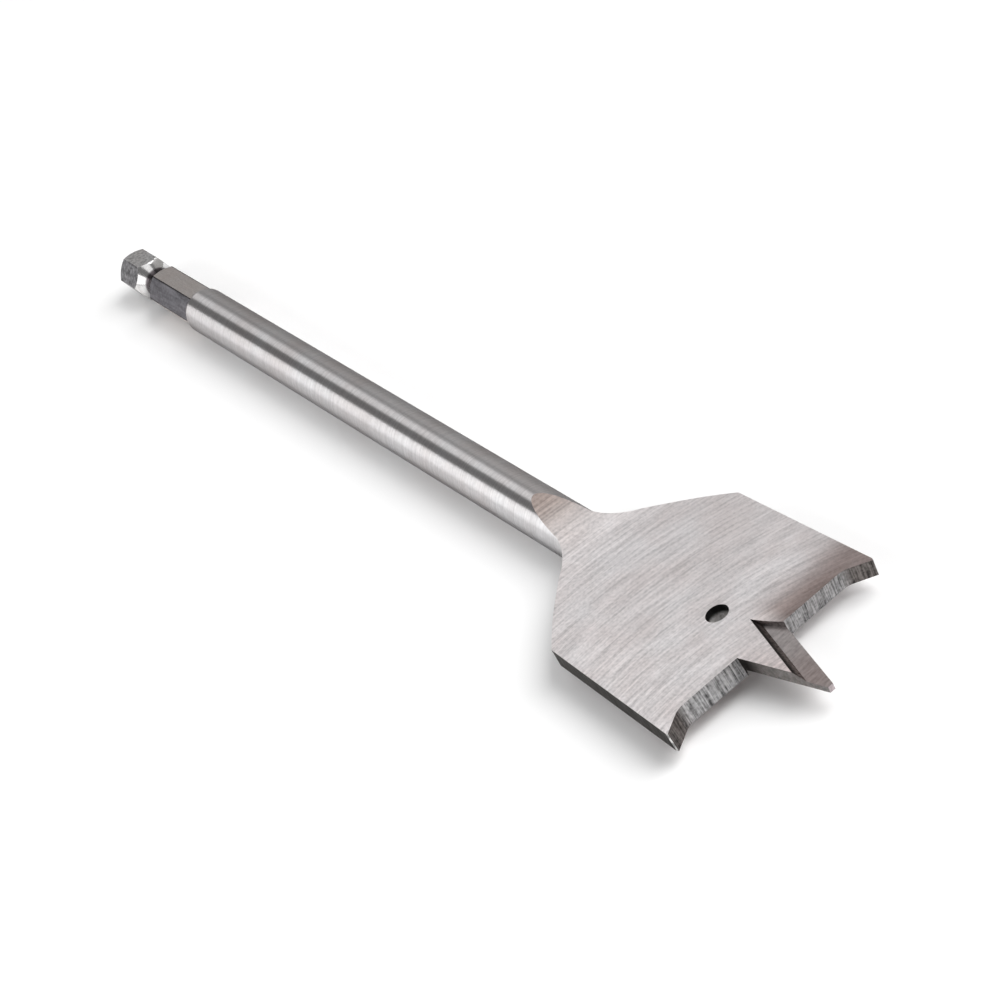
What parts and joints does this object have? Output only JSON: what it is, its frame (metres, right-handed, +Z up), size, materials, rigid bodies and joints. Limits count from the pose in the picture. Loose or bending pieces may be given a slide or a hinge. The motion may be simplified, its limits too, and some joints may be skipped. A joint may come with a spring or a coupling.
{
  "type": "spade drill bit",
  "caption": "Flat spade drill bit for wood with spurred wings, a grooved centre point, a hole in the blade and a hexagonal quick-change shank.",
  "frame": {"origin": "middle of the length and of the width, at the underside of the round shaft, on the surface the bit lies on", "axes": "+X along the axis to the centre point, +Y across the blade to the wing that cuts with its upper face, +Z up out of the flat face of the blade"},
  "size_m": [0.196, 0.034, 0.0074],
  "materials": {
    "steel": "ground across the blade, smooth on the shaft"
  },
  "bodies": {
    "root": {"spade_bit": "steel"}
  },
  "joints": []
}
